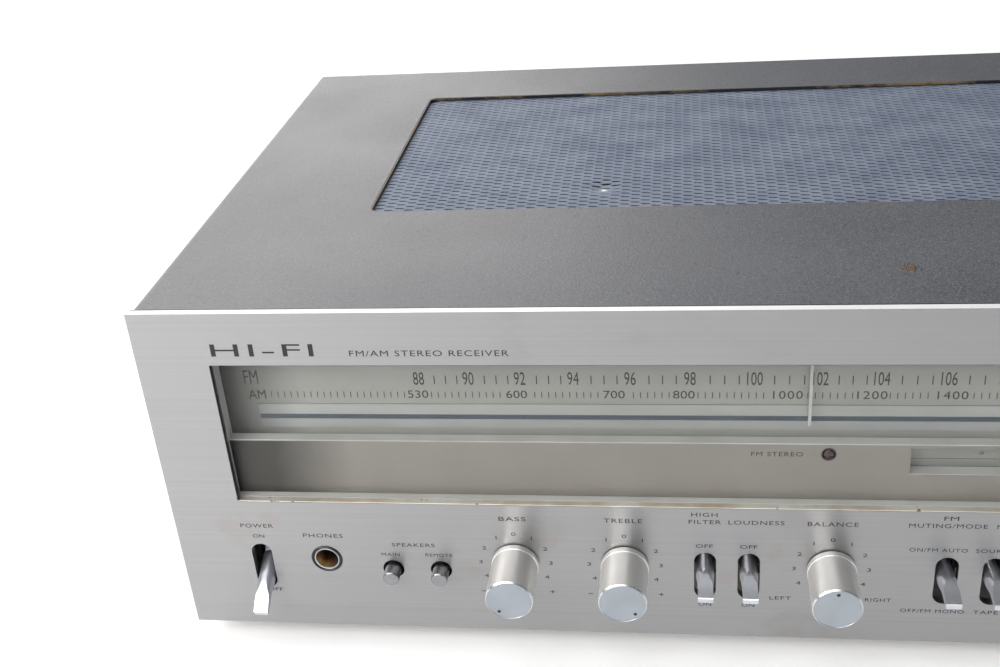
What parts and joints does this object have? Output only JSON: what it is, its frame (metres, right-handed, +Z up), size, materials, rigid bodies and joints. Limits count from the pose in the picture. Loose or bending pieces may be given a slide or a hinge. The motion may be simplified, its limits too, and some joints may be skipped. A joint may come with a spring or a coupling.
{
  "type": "stereo receiver",
  "caption": "Stereo receiver with a brushed front plate, glass dial window, rotary knobs, bat levers, push buttons and a vented wrap-over cover on a chassis with rear sockets.",
  "frame": {"origin": "on the floor, under the middle of the whole part's box", "axes": "+Z up, +X to the right as seen from the front, the front plate faces -Y"},
  "size_m": [0.45, 0.3032, 0.144],
  "materials": {
    "brushed_aluminium": "horizontally brushed, satin, lightly stained",
    "satin_aluminium": "fine turned satin with bright chamfers",
    "chrome": "polished plating",
    "grey_paint": "dark grey semi-gloss with a fine texture",
    "grille_metal": "blue-grey painted expanded metal",
    "zinc_steel": "dull zinc plated",
    "black_plastic": "matt moulded",
    "dial_silver": "silver-grey printed plate, satin",
    "dial_glass": "clear, faintly green",
    "white_paint": "satin white",
    "red_lamp": "clear red dome",
    "transformer": "varnished laminations and winding",
    "circuit_board": "brown phenolic board",
    "rubber": "dull black"
  },
  "bodies": {
    "chassis": {"front_plate": "brushed_aluminium", "sub_panel": "zinc_steel", "bottom_plate": "zinc_steel", "rear_panel": "zinc_steel", "tuning_capacitor": "zinc_steel", "antenna_bracket": "zinc_steel", "top_cover": "grey_paint", "top_grille": "grille_metal", "foot_front_left": "rubber", "foot_front_right": "rubber", "foot_rear_left": "rubber", "foot_rear_right": "rubber", "cord_gland": "rubber", "dial_window": "dial_glass", "dial_plate": "dial_silver", "lower_plate": "dial_silver", "meter_case": "black_plastic", "power_switch": "black_plastic", "filter_switch": "black_plastic", "mode_switch": "black_plastic", "speaker_switch": "black_plastic", "heat_sink": "black_plastic", "phono_sockets": "black_plastic", "speaker_terminals": "black_plastic", "antenna_terminals": "black_plastic", "stereo_lamp": "red_lamp", "pointer_rail": "chrome", "phones_jack": "chrome", "power_transformer": "transformer", "main_board": "circuit_board", "bass_control": "zinc_steel", "treble_control": "zinc_steel", "balance_control": "zinc_steel", "volume_control": "zinc_steel", "selector_switch": "zinc_steel"},
    "bass": {"bass_knob": "satin_aluminium", "bass_shaft": "zinc_steel"},
    "treble": {"treble_knob": "satin_aluminium", "treble_shaft": "zinc_steel"},
    "balance": {"balance_knob": "satin_aluminium", "balance_shaft": "zinc_steel"},
    "volume": {"volume_knob": "satin_aluminium", "volume_shaft": "zinc_steel"},
    "selector": {"selector_knob": "satin_aluminium", "selector_shaft": "zinc_steel"},
    "tuning": {"tuning_knob": "satin_aluminium", "tuning_shaft": "zinc_steel"},
    "pointer": {"dial_pointer": "white_paint"},
    "drum": {"dial_drum": "black_plastic"},
    "power": {"power_lever": "chrome"},
    "high_filter": {"high_filter_lever": "chrome"},
    "loudness": {"loudness_lever": "chrome"},
    "fm_mode": {"fm_mode_lever": "chrome"},
    "tape_monitor": {"tape_monitor_lever": "chrome"},
    "speaker_main": {"speaker_main_button": "satin_aluminium"},
    "speaker_remote": {"speaker_remote_button": "satin_aluminium"},
    "needle": {"meter_needle": "black_plastic"},
    "antenna": {"antenna_bar": "black_plastic"}
  },
  "joints": [
    {"name": "bass_turn", "type": "hinge", "parent": "chassis", "child": "bass", "pos_m": [-0.0988, -0.12765, 0.04165], "axis": [0, 1, 0], "range_deg": [-8, 292]},
    {"name": "treble_turn", "type": "hinge", "parent": "chassis", "child": "treble", "pos_m": [-0.0595, -0.12765, 0.04165], "axis": [0, 1, 0], "range_deg": [-286, 14]},
    {"name": "balance_turn", "type": "hinge", "parent": "chassis", "child": "balance", "pos_m": [0.0121, -0.12765, 0.04165], "axis": [0, 1, 0], "range_deg": [-150, 150]},
    {"name": "volume_turn", "type": "hinge", "parent": "chassis", "child": "volume", "pos_m": [0.117, -0.12765, 0.04165], "axis": [0, 1, 0], "range_deg": [-40, 260]},
    {"name": "selector_turn", "type": "hinge", "parent": "chassis", "child": "selector", "pos_m": [0.175, -0.12765, 0.04165], "axis": [0, 1, 0], "range_deg": [-30, 90]},
    {"name": "tuning_turn", "type": "hinge", "parent": "chassis", "child": "tuning", "pos_m": [0.173, -0.12765, 0.096], "axis": [0, 1, 0], "range_deg": [-1757, 814]},
    {"name": "pointer_slide", "type": "slide", "parent": "chassis", "child": "pointer", "axis": [1, 0, 0], "range_m": [-0.138, 0.064]},
    {"name": "drum_turn", "type": "hinge", "parent": "chassis", "child": "drum", "pos_m": [0.025, -0.09365, 0.096], "axis": [0, 1, 0], "range_deg": [-198.7, 92.6]},
    {"name": "power_tilt", "type": "hinge", "parent": "chassis", "child": "power", "pos_m": [-0.1937, -0.11565, 0.03765], "axis": [-1, 0, 0], "range_deg": [0, 31.6]},
    {"name": "high_filter_tilt", "type": "hinge", "parent": "chassis", "child": "high_filter", "pos_m": [-0.0313, -0.11565, 0.03765], "axis": [-1, 0, 0], "range_deg": [-31.6, 0]},
    {"name": "loudness_tilt", "type": "hinge", "parent": "chassis", "child": "loudness", "pos_m": [-0.0161, -0.11565, 0.03765], "axis": [-1, 0, 0], "range_deg": [-31.6, 0]},
    {"name": "fm_mode_tilt", "type": "hinge", "parent": "chassis", "child": "fm_mode", "pos_m": [0.0507, -0.11565, 0.03765], "axis": [-1, 0, 0], "range_deg": [-31.6, 0]},
    {"name": "tape_monitor_tilt", "type": "hinge", "parent": "chassis", "child": "tape_monitor", "pos_m": [0.06635, -0.11565, 0.03765], "axis": [-1, 0, 0], "range_deg": [-31.6, 0]},
    {"name": "speaker_main_press", "type": "slide", "parent": "chassis", "child": "speaker_main", "axis": [0, 1, 0], "range_m": [0, 0.0045], "stiffness_N_per_m": 300},
    {"name": "speaker_remote_press", "type": "slide", "parent": "chassis", "child": "speaker_remote", "axis": [0, 1, 0], "range_m": [0, 0.0045], "stiffness_N_per_m": 300},
    {"name": "needle_swing", "type": "hinge", "parent": "chassis", "child": "needle", "pos_m": [0.081, -0.11825, 0.0818], "axis": [0, 1, 0], "range_deg": [0, 100], "stiffness_Nm_per_rad": 0.00005},
    {"name": "antenna_swing", "type": "hinge", "parent": "chassis", "child": "antenna", "pos_m": [-0.06, 0.14465, 0.124], "axis": [0, 0, -1], "range_deg": [0, 90]}
  ],
  "couplings": [
    {"joint": "pointer_slide", "follows": "tuning_turn", "m_per_rad": 0.0045},
    {"joint": "drum_turn", "follows": "tuning_turn", "ratio": 0.1125}
  ]
}
